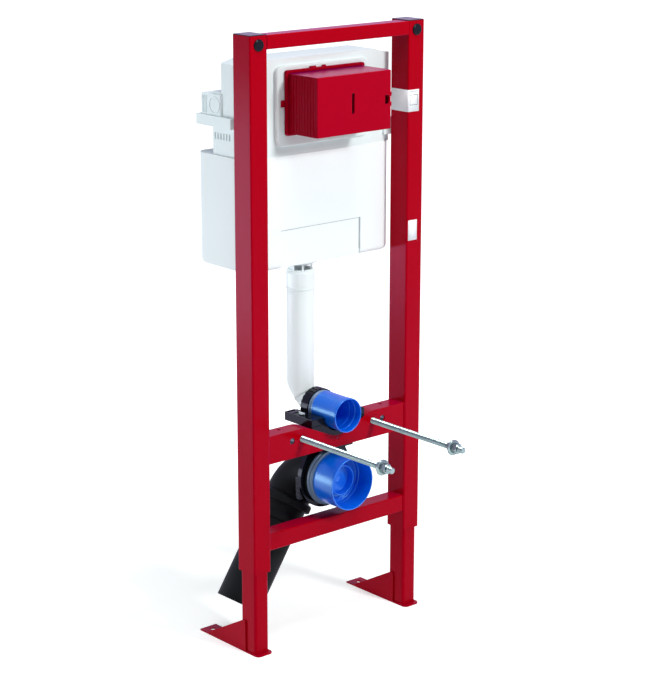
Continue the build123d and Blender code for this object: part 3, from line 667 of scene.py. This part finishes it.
def roundedBox(bm, low, high, softness, segments=2):
    # a block between two corners in mm with softened edges
    centre = [(a + b) / 2 * mm for a, b in zip(low, high)]
    size = [(b - a) * mm for a, b in zip(low, high)]
    placed = Matrix.Translation(centre) @ Matrix.Diagonal((*size, 1.0))
    made = bmesh.ops.create_cube(bm, size=1.0, matrix=placed)
    edges = list({edge for vert in made["verts"] for edge in vert.link_edges})
    bmesh.ops.bevel(bm, geom=edges, offset=softness * mm, segments=segments, profile=0.5, affect="EDGES")


def makeBand():
    low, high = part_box("waste_band")
    centre = Vector((0.0, 0.0, nodeCentre("waste_seal").z))
    front, back = low.y, high.y
    shape = bandShape
    inner, lipWide = shape["inner"] * mm, shape["lipWide"] * mm
    outer = inner + shape["thick"] * mm
    lip = outer + shape["lipHigh"] * mm
    bm = bmesh.new()
    spinRings(bm, centre, [
        (front, inner), (front, lip), (front + lipWide, lip), (front + 2 * lipWide, outer),
        (back - 2 * lipWide, outer), (back - lipWide, lip), (back, lip), (back, inner),
    ], shape["steps"])
    band = makeObject("waste_band_rolled", bm, strapSteel, "frame", 35.0)
    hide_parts("waste_band")
    latch = bmesh.new()
    outside, inside, proud = -shape["latchOuter"], -shape["latchInner"], shape["ribProud"]
    bottom, top = shape["latchBottom"], shape["latchTop"]
    lowY, highY = shape["latchFront"], shape["latchBack"]
    roundedBox(latch, (outside, lowY, bottom), (inside, highY, top), 1.6)
    for k in range(shape["ribs"]):
        base = bottom + shape["ribsFrom"] + k * shape["ribPitch"]
        roundedBox(latch, (outside - proud, lowY - 0.8, base),
                   (inside - proud, highY - 3.0, base + shape["ribHigh"]), 0.6)
    roundedBox(latch, (inside - 2.0, lowY + 1.0, bottom),
               (-shape["footTo"], highY - 1.0, bottom + shape["footHigh"]), 1.4)
    keepFlat(makeObject("waste_band_latch", latch, holderBlack, "frame", 40.0))
    screw = bmesh.new()
    for screwLow, screwHigh, softness in shape["screw"]:
        roundedBox(screw, screwLow, screwHigh, softness)
    keepFlat(makeObject("waste_band_screw", screw, zinc, "frame", 40.0))


makeBand()
print("band ready")


# collar ring on the elbow's leg, with a notch in its edge

elbowRing = {
    "from": 66.0, "to": 84.0, "radius": 55.0, "inner": 45.4, "rim": 1.2, "steps": 96,
    "lead": ((2.0, 4.0), (4.5, 0.8), (6.5, 0.0)),  # along the leg, and below the ring's radius
    "legTurn": 33.5, "legDepth": 112.0,
    "notchHalf": 0.16, "notchTurn": 0.35, "notchDeep": 5.0, "notchEdge": 3.0,
}


def makeElbowRing():
    shape = elbowRing
    turned = math.radians(shape["legTurn"])
    down = Vector((-math.sin(turned), 0.0, -math.cos(turned)))
    across = Vector((math.cos(turned), 0.0, -math.sin(turned)))
    away = Vector((0.0, 1.0, 0.0))
    origin = Vector((0.0, shape["legDepth"] * mm, nodeCentre("waste_seal").z))
    outer, inner, rim = shape["radius"], shape["inner"], shape["rim"]
    start, stop = shape["from"], shape["to"]
    profile = [(start, inner)] + [(start + along, outer - drop) for along, drop in shape["lead"]]
    profile += [(stop - rim, outer), (stop, outer - rim), (stop, inner)]
    bm = bmesh.new()
    rings = []
    for depth, radius in profile:
        row = []
        for k in range(shape["steps"]):
            angle = 2 * math.pi * k / shape["steps"]
            notched = abs(math.sin(angle / 2 + shape["notchTurn"])) < shape["notchHalf"]
            cut = shape["notchDeep"] if notched and radius > outer - shape["notchEdge"] else 0.0
            side = (radius - cut) * (math.cos(angle) * across + math.sin(angle) * away)
            row.append(bm.verts.new(origin + (down * depth + side) * mm))
        rings.append(row)
    skinRings(bm, rings)
    makeObject("elbow_collar_ring", bm, drainBlack, "frame", 30.0)


makeElbowRing()


# flat pieces with holes and softened edges, from outlines in the plane of the frame

def roundedOutline(left, right, bottom, top, radius, steps=5):
    points = []
    for x, z, start in ((right, top, 0.0), (left, top, 0.5), (left, bottom, 1.0), (right, bottom, 1.5)):
        inX = x - radius if x == right else x + radius
        inZ = z - radius if z == top else z + radius
        for k in range(steps + 1):
            angle = math.pi * (start + k / steps / 2)
            points.append((inX + radius * math.cos(angle), inZ + radius * math.sin(angle)))
    return points


def makePlate(name, outlines, front, back, softness, mat):
    # a plate between two depths in mm; the outlines after the first one are its holes
    curve = bpy.data.curves.new(name + "Outline", "CURVE")
    curve.dimensions = "2D"
    curve.fill_mode = "BOTH"
    curve.extrude = ((back - front) / 2 - softness) * mm
    curve.bevel_depth = softness * mm
    curve.bevel_resolution = 2
    curve.offset = -softness * mm
    for outline in outlines:
        spline = curve.splines.new("POLY")
        spline.points.add(len(outline) - 1)
        for point, (x, z) in zip(spline.points, outline):
            point.co = (x * mm, z * mm, 0.0, 1.0)
        spline.use_cyclic_u = True
    holder = bpy.data.objects.new(name + "Outline", curve)
    bpy.context.scene.collection.objects.link(holder)
    bpy.context.view_layer.update()
    evaluated = holder.evaluated_get(bpy.context.evaluated_depsgraph_get())
    flat = bpy.data.meshes.new_from_object(evaluated)
    bpy.data.objects.remove(holder)
    bm = bmesh.new()
    bm.from_mesh(flat)
    bpy.data.meshes.remove(flat)
    bmesh.ops.remove_doubles(bm, verts=bm.verts, dist=0.005 * mm)
    middle = (front + back) / 2 * mm
    for vert in bm.verts:
        vert.co = Vector((vert.co.x, middle - vert.co.z, vert.co.y))
    plate = makeObject(name, bm, mat, "frame", 35.0)
    keepFlat(plate)
    return plate


# inspection box: cover with its slot, softened flange, tab, hook and lugs

boxTrim = {
    "slot": (-6.0, 0.0, 1030.5, 1068.5), "catch": (76.0, 86.0, 1041.0, 1057.0), "mark": (56.0, 1047.0, 2.2),
    "markWide": 0.9, "lugs": (1036.0, 1054.5), "lugHigh": 8.5, "ribs": ((1058.2, 1060.4), (1037.6, 1039.8)),
    "flangeFront": 39.0, "flangeBack": 45.8, "flangeGrow": 4.6, "flangeCorner": 5.0, "flangeInset": 3.2,
    "tab": ((-104.5, 43.0, 1042.5), (-95.0, 49.0, 1055.0)), "hooks": ((-36.0, -22.0), (-6.0, 2.0)),
}


def circleOutline(x, z, radius, steps=20):
    return [(x + radius * math.cos(2 * math.pi * k / steps), z + radius * math.sin(2 * math.pi * k / steps))
            for k in range(steps)]


def makeCover():
    low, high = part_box("inspection_cover")
    left, right, bottom, top = low.x / mm, high.x / mm, low.z / mm, high.z / mm
    front, back = low.y / mm, high.y / mm
    cover = makePlate("inspection_cover_moulded", [
        roundedOutline(left, right, bottom, top, 2.2),
        roundedOutline(*boxTrim["slot"], 2.6),
        roundedOutline(*boxTrim["catch"], 1.2),
    ], front, back, 1.1, boxRed)
    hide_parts("inspection_cover")
    x, z, radius = boxTrim["mark"]
    makePlate("cover_mark", [circleOutline(x, z, radius), circleOutline(x, z, radius - boxTrim["markWide"])],
              front - 0.3, front + 0.6, 0.2, boxRed)
    lugs = bmesh.new()
    for base in boxTrim["lugs"]:
        roundedBox(lugs, (right - 6.0, front - 0.4, base),
                   (right + 2.2, front + 4.0, base + boxTrim["lugHigh"]), 1.6, 3)
    for ribLow, ribHigh in boxTrim["ribs"]:
        roundedBox(lugs, (right - 15.0, front - 0.5, ribLow), (right - 3.0, front + 1.0, ribHigh), 0.4)
    keepFlat(makeObject("cover_lugs", lugs, boxRed, "frame", 40.0))


def makeFlange():
    low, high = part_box("inspection_box")
    grow, corner, inset = boxTrim["flangeGrow"], boxTrim["flangeCorner"], boxTrim["flangeInset"]
    left, right, bottom, top = low.x / mm, high.x / mm, low.z / mm, high.z / mm
    makePlate("box_flange", [
        roundedOutline(left - grow + 2.0, right + grow - 2.0, bottom - 1.5, top + grow - 2.0, corner),
        roundedOutline(left + inset, right - inset, bottom + inset, top - inset, 1.0),
    ], boxTrim["flangeFront"], boxTrim["flangeBack"], 1.4, boxRed)
    trim = bmesh.new()
    tabLow, tabHigh = boxTrim["tab"]
    roundedBox(trim, tabLow, tabHigh, 1.5, 3)
    for hookLeft, hookRight in boxTrim["hooks"]:
        roundedBox(trim, (hookLeft, 41.0, top - 1.0), (hookRight, 45.6, top + grow + 0.8), 1.0)
    keepFlat(makeObject("box_tab_and_hooks", trim, boxRed, "frame", 40.0))


makeCover()
makeFlange()
print("inspection box ready")


# open outlet cage between the jacket and the flush pipe

outletShape = {
    # (radius, height) from the jacket's underside, and from the top of the pipe
    "flange": ((18.0, 4.0), (41.0, 4.0), (42.0, 0.0), (42.0, -1.6), (40.8, -2.8), (30.0, -10.0),
               (26.0, -12.0), (21.0, -12.4), (20.0, -4.0)),
    "ring": ((21.4, 2.6), (25.6, 2.4), (26.0, 1.0), (25.4, -0.2), (22.9, -0.4)),
    "tubeOuter": 20.0, "tubeInner": 18.0, "steps": 72,
    # the cage's legs, as (direction in degrees, width in radians)
    "legs": ((170.0, 1.05), (241.0, 0.14), (297.0, 0.14), (60.0, 0.5)),
    "legOuter": 25.0, "legInner": 21.6, "legFrom": 2.0, "legTo": -11.0,
}


def makeOutlet():
    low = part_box("outlet_collar")[0]
    centre = nodeCentre("outlet_collar")
    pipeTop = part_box("flush_pipe")[1].z
    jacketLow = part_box("cistern_jacket")[0].z
    shape = outletShape
    bm = bmesh.new()

    def addPoint(radius, angle, z):
        x = centre.x + radius * mm * math.cos(angle)
        y = centre.y + radius * mm * math.sin(angle)
        return bm.verts.new((x, y, z))

    def addLathe(outline):
        turns = [2 * math.pi * k / shape["steps"] for k in range(shape["steps"])]
        skinRings(bm, [[addPoint(radius, turn, z) for turn in turns] for radius, z in outline])

    addLathe([(radius, jacketLow + rise * mm) for radius, rise in shape["flange"]])
    ring = [(radius, pipeTop + rise * mm) for radius, rise in shape["ring"]]
    outer, inner = shape["tubeOuter"], shape["tubeInner"]
    addLathe(ring + [(outer, low.z), (inner, low.z), (inner, pipeTop - 2.0 * mm)])
    for direction, width in shape["legs"]:
        middle, half = math.radians(direction), width / 2
        corners = [addPoint(radius, angle, z)
                   for z in (pipeTop + shape["legFrom"] * mm, jacketLow + shape["legTo"] * mm)
                   for radius in (shape["legInner"], shape["legOuter"])
                   for angle in (middle - half, middle + half)]
        for face in ((0, 1, 3, 2), (4, 5, 7, 6), (0, 1, 5, 4), (2, 3, 7, 6), (0, 2, 6, 4), (1, 3, 7, 5)):
            bm.faces.new([corners[j] for j in face])
    cage = makeObject("outlet_cage", bm, pipeWhite, "frame", 40.0)
    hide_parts("outlet_collar")


makeOutlet()
print("outlet ready")


# weld beads where the beams and feet meet the tubes

weldShape = {"radius": 1.7, "footFront": 2.6, "footSide": 2.2, "footSideTo": 18.0, "pitch": 3.4,
             "ripple": 0.28, "fullness": 0.8, "tip": 0.25, "ringsPerRipple": 4, "steps": 10}


def addWeld(bm, start, stop, radius=weldShape["radius"]):
    # a rippled bead from start to stop, in mm
    start, stop = Vector(start), Vector(stop)
    along = (stop - start).normalized()
    first = along.orthogonal().normalized()
    second = along.cross(first)
    length = (stop - start).length
    pitch = weldShape["pitch"]
    count = max(6, int(length / pitch * weldShape["ringsPerRipple"]))
    turns = [2 * math.pi * k / weldShape["steps"] for k in range(weldShape["steps"])]
    rings = []
    for i in range(count + 1):
        part = i / count
        ripple = 1.0 + weldShape["ripple"] * math.cos(2 * math.pi * part * length / pitch)
        ends = min(1.0, min(part, 1.0 - part) * length / radius + weldShape["tip"])
        here = start.lerp(stop, part)
        size = radius * ripple * ends * weldShape["fullness"]
        rings.append([bm.verts.new((here + size * (math.cos(turn) * first + math.sin(turn) * second)) * mm)
                      for turn in turns])
    skinRings(bm, rings, closed=False)
    bm.faces.new(rings[0])
    bm.faces.new(rings[-1])


def makeBeamWelds():
    bm = bmesh.new()
    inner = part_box("right_post")[0].x / mm
    face = 3.0  # the front of the two lower beams
    for node in ("bolt_beam", "lower_beam"):
        low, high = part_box(node)
        back, bottom, top = high.y / mm, low.z / mm, high.z / mm
        for x in (-inner, inner):
            addWeld(bm, (x, face, bottom + 1.0), (x, face, top - 1.0))
            addWeld(bm, (x, face + 3.0, top), (x, back - 3.0, top))
    low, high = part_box("top_beam")
    back, bottom, top = high.y / mm, low.z / mm, high.z / mm
    for x in (-inner, inner):
        addWeld(bm, (x, 2.0, bottom), (x, back - 2.0, bottom))
        addWeld(bm, (x, back, bottom + 2.0), (x, back, top - 2.0))
    makeObject("beam_welds", bm, frameCoat, "frame", 60.0)


def makeFootWelds(side):
    low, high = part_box(side + "_leg")
    left, right, front = low.x / mm, high.x / mm, low.y / mm
    base = low.z / mm + 1.0
    bm = bmesh.new()
    addWeld(bm, (left + 2.0, front, base), (right - 2.0, front, base), weldShape["footFront"])
    for x in (left, right):
        addWeld(bm, (x, front + 2.0, base), (x, weldShape["footSideTo"], base), weldShape["footSide"])
    makeObject(side + "_foot_weld", bm, frameCoat, side + "_leg_body", 60.0)


makeBeamWelds()
for side in ("left", "right"):
    makeFootWelds(side)
print("welds ready")


# raised rims and a clip screw on the flush bracket, and a grey painted shade line round the jacket's recessed
# panel

bracketTrim = {
    "rimWide": 2.2, "rimHigh": 1.6, "ringGap": 6.0, "beadHigh": 11.7, "beadLow": 13.5,
    "ribs": (22.0, 44.0, 66.0), "ribLong": 20.0, "ribWide": 1.8, "ribHigh": 1.0,
    # corners from the bracket's left and top, and softness
    "clip": (((9.0, 44.0, 0.0), (17.0, 53.0, 4.0), 1.4, 3), ((12.0, 40.0, 1.0), (14.5, 57.0, 5.4), 0.8, 2)),
}


def makeBracketRims():
    low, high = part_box("flush_bracket")
    left, right, front, back, top = low.x / mm, high.x / mm, low.y / mm, high.y / mm, high.z / mm
    shape = bracketTrim
    wide, gap = shape["rimWide"], shape["ringGap"]
    foot, rimTop = top - 0.2, top + shape["rimHigh"]
    bm = bmesh.new()
    for x in (left, right - wide):
        roundedBox(bm, (x, front, foot), (x + wide, back, rimTop), 0.6)
    ringLow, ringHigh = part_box("flush_clamp_ring")
    for start, stop in ((left, ringLow.x / mm - gap), (ringHigh.x / mm + gap, right)):
        roundedBox(bm, (start, front, foot), (stop, front + wide, rimTop), 0.6)
        roundedBox(bm, (start, back - wide, foot), (stop, back, rimTop), 0.6)
        roundedBox(bm, (start + 1.0, front - 0.9, top - shape["beadLow"]),
                   (stop - 1.0, front + 0.6, top - shape["beadHigh"]), 0.5)
    for y in shape["ribs"]:
        for start, stop in ((left, left + shape["ribLong"]), (right - shape["ribLong"], right)):
            roundedBox(bm, (start, y, foot), (stop, y + shape["ribWide"], top + shape["ribHigh"]), 0.5)
    keepFlat(makeObject("bracket_rims", bm, holderBlack, "frame", 40.0))
    clip = bmesh.new()
    for clipLow, clipHigh, softness, segments in shape["clip"]:
        corners = [(left + x, y, top + z) for x, y, z in (clipLow, clipHigh)]
        roundedBox(clip, *corners, softness, segments)
    keepFlat(makeObject("bracket_clip", clip, strapSteel, "frame", 40.0))


panelShadeLine = {"half": 99.4, "top": 809.9, "wide": 2.0, "floor": 57.0, "lift": 0.5, "sunk": 0.4,
              "fromLow": 12.0}


# strips along the recess's top and sides paint the shade that the recess walls cast on its floor
def makePanelShadeLine():
    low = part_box("cistern_jacket")[0].z / mm
    half, top, wide = panelShadeLine["half"], panelShadeLine["top"], panelShadeLine["wide"]
    front, back = panelShadeLine["floor"] - panelShadeLine["lift"], panelShadeLine["floor"] + panelShadeLine["sunk"]
    bm = bmesh.new()
    roundedBox(bm, (-half, front, top - wide), (half, back, top), 0.2, 1)
    for side in (-1, 1):
        inner, outer = sorted((side * half, side * (half - wide * 0.6)))
        roundedBox(bm, (inner, front, low + panelShadeLine["fromLow"]), (outer, back, top - wide), 0.2, 1)
    makeObject("panel_shade_line", bm, recessShadeLine, "frame", 40.0)


makeBracketRims()
makePanelShadeLine()
print("bracket rims and panel shade line ready")


# blank labels on the right post

labels = {
    "large": {"low": 1011.5, "high": 1053.5, "right": 200.0},  # without a left edge it goes round the corner
    "small": {"low": 760.5, "high": 800.5, "left": 175.5, "right": 198.5},
}
labelFilm = {"lift": 0.18 * mm, "thick": 0.12 * mm, "corner": 3.0 * mm, "cornerSteps": 8}
labelPrint = {"line": (176.0, 197.5, 1049.9, 1050.6), "square": (176.5, 196.5, 1024.0, 1044.0), "stroke": 0.8,
              "front": -0.32, "back": -0.2, "softness": 0.02}


def makeLabel(name, place):
    postLow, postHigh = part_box("right_post")
    lift, corner, steps = labelFilm["lift"], labelFilm["corner"], labelFilm["cornerSteps"]
    if "left" in place:
        path = [(place["left"] * mm, -lift)]
    else:
        path = [(postLow.x - lift, postHigh.y - corner), (postLow.x - lift, corner)]
        for k in range(1, steps):
            angle = math.pi * (1 + k / (2 * steps))
            path.append((postLow.x + corner + (corner + lift) * math.cos(angle),
                         corner + (corner + lift) * math.sin(angle)))
        path.append((postLow.x + corner, -lift))
    path.append((place["right"] * mm, -lift))
    bm = bmesh.new()
    low, high = place["low"] * mm, place["high"] * mm
    rows = [[bm.verts.new((x, y, z)) for z in (low, high)] for x, y in path]
    for first, second in zip(rows, rows[1:]):
        bm.faces.new((first[0], second[0], second[1], first[1]))
    piece = makeObject(name + "Label", bm, labelPaper, "frame", 60.0)
    film = piece.modifiers.new("film thickness", "SOLIDIFY")
    film.thickness = labelFilm["thick"]
    film.offset = -1.0


def makeLabelPrint():
    # a plain ruled line over a plain open square
    front, back, softness = labelPrint["front"], labelPrint["back"], labelPrint["softness"]
    left, right, bottom, top = labelPrint["line"]
    line = [(left, top), (right, top), (right, bottom), (left, bottom)]
    makePlate("labelLine", [line], front, back, softness, labelInk)
    left, right, bottom, top = labelPrint["square"]
    stroke = labelPrint["stroke"]
    makePlate("labelSquare", [
        roundedOutline(left, right, bottom, top, 0.5),
        roundedOutline(left + stroke, right - stroke, bottom + stroke, top - stroke, 0.4),
    ], front, back, softness, labelInk)


for name, place in labels.items():
    makeLabel(name, place)
makeLabelPrint()
print("labels ready")


# camera at the photograph's angle

shot = {"place": (-2.4996, -2.8523, 1.6127), "yaw": 40.739, "pitch": 15.334, "lens": 105.996,
        "sensor": 36.0, "seesTo": 60.0}
cameraData = bpy.data.cameras.new("photoAngle")
cameraData.lens = shot["lens"]
cameraData.sensor_width = shot["sensor"]
cameraData.sensor_fit = "AUTO"
cameraData.clip_end = shot["seesTo"]
camera = bpy.data.objects.new("photoAngle", cameraData)
camera.location = shot["place"]
camera.rotation_euler = (math.radians(90 - shot["pitch"]), 0.0, -math.radians(shot["yaw"]))
bpy.context.scene.collection.objects.link(camera)
bpy.context.scene.camera = camera


# floor, world and soft lamps

studio = {
    "floorSize": 14.0, "floorColour": (0.88, 0.89, 0.9), "floorRoughness": 0.85, "floorShine": 0.1,
    # how far from the middle the floor fades to plain white, and its glow in the middle
    "whiteFrom": 0.5, "whiteTo": 1.5, "floorLift": 0.46,
    "skyColour": (0.93, 1.0, 1.0), "skyStrength": 0.33, "mirrorColour": (0.66, 0.56, 0.86),
}


def makeFloor():
    bm = bmesh.new()
    bmesh.ops.create_circle(bm, cap_ends=True, segments=96, radius=studio["floorSize"])
    mesh = bpy.data.meshes.new("studioFloor")
    bm.to_mesh(mesh)
    bm.free()
    floor = bpy.data.objects.new("studioFloor", mesh)
    bpy.context.scene.collection.objects.link(floor)
    mat, tree, bsdf, coords = startMaterial("pale studio floor")
    setInputs(bsdf, {"Base Color": (*studio["floorColour"], 1.0), "Roughness": studio["floorRoughness"],
                     "Specular IOR Level": studio["floorShine"]})
    # the camera sees the floor fade into the white background
    reach = tree.nodes.new("ShaderNodeVectorMath")
    reach.operation = "LENGTH"
    tree.links.new(coords.outputs["Object"], reach.inputs[0])
    fade = tree.nodes.new("ShaderNodeMapRange")
    setInputs(fade, {"From Min": studio["whiteFrom"], "From Max": studio["whiteTo"],
                     "To Min": studio["floorLift"], "To Max": 1.0})
    tree.links.new(reach.outputs["Value"], fade.inputs["Value"])
    path = tree.nodes.new("ShaderNodeLightPath")
    seen = mathNode(tree, "MAXIMUM", path.outputs["Is Camera Ray"], path.outputs["Is Glossy Ray"])
    glow = mathNode(tree, "MULTIPLY", seen, fade.outputs["Result"])
    tree.links.new(glow, bsdf.inputs["Emission Strength"])
    tint = mixColours(tree, path.outputs["Is Glossy Ray"], (1.0, 1.0, 1.0), studio["mirrorColour"])
    tree.links.new(tint, bsdf.inputs["Emission Color"])
    mesh.materials.append(mat)


def makeWorld():
    world = bpy.data.worlds.new("white room")
    bpy.context.scene.world = world
    world.use_nodes = True
    tree = world.node_tree
    background = tree.nodes["Background"]
    path = tree.nodes.new("ShaderNodeLightPath")
    seen = mathNode(tree, "MAXIMUM", path.outputs["Is Camera Ray"], path.outputs["Is Transmission Ray"])
    around = mixColours(tree, path.outputs["Is Glossy Ray"], studio["skyColour"], studio["mirrorColour"])
    colour = mixColours(tree, seen, around, (1.0, 1.0, 1.0))
    tree.links.new(colour, background.inputs["Color"])
    seen = mathNode(tree, "MAXIMUM", seen, path.outputs["Is Glossy Ray"])
    rest = mathNode(tree, "MULTIPLY", mathNode(tree, "SUBTRACT", 1.0, seen), studio["skyStrength"])
    tree.links.new(mathNode(tree, "ADD", seen, rest), background.inputs["Strength"])


lamps = {
    "keyPanel": {
        "place": (0.75, -3.1, 2.45), "aim": (0.0, 0.0, 0.6), "size": (0.5, 0.5), "watts": 81.0,
        "colour": (1.0, 1.0, 0.99),
    },
    "topPanel": {
        "place": (-0.2, -0.6, 3.2), "aim": (0.0, 0.1, 0.8), "size": (1.3, 1.3), "watts": 42.0,
        "colour": (0.96, 1.0, 1.0),
    },
    "backLeftPanel": {
        "place": (-1.95, 1.55, 0.36), "aim": (-0.1, 0.05, 0.5), "size": (2.2, 0.7), "watts": 24.5,
        "colour": (0.92, 0.97, 1.0),
    },
}


def makeLamp(name, lamp):
    data = bpy.data.lights.new(name, "AREA")
    data.shape = "RECTANGLE"
    data.size, data.size_y = lamp["size"]
    data.energy = lamp["watts"]
    data.color = lamp["colour"]
    light = bpy.data.objects.new(name, data)
    light.location = lamp["place"]
    aim = Vector(lamp["aim"]) - Vector(lamp["place"])
    light.rotation_euler = aim.to_track_quat("-Z", "Y").to_euler()
    bpy.context.scene.collection.objects.link(light)


makeFloor()
makeWorld()
for name, lamp in lamps.items():
    makeLamp(name, lamp)
bpy.context.scene.view_settings.view_transform = "Standard"
print("studio ready")

bpy.context.view_layer.update()
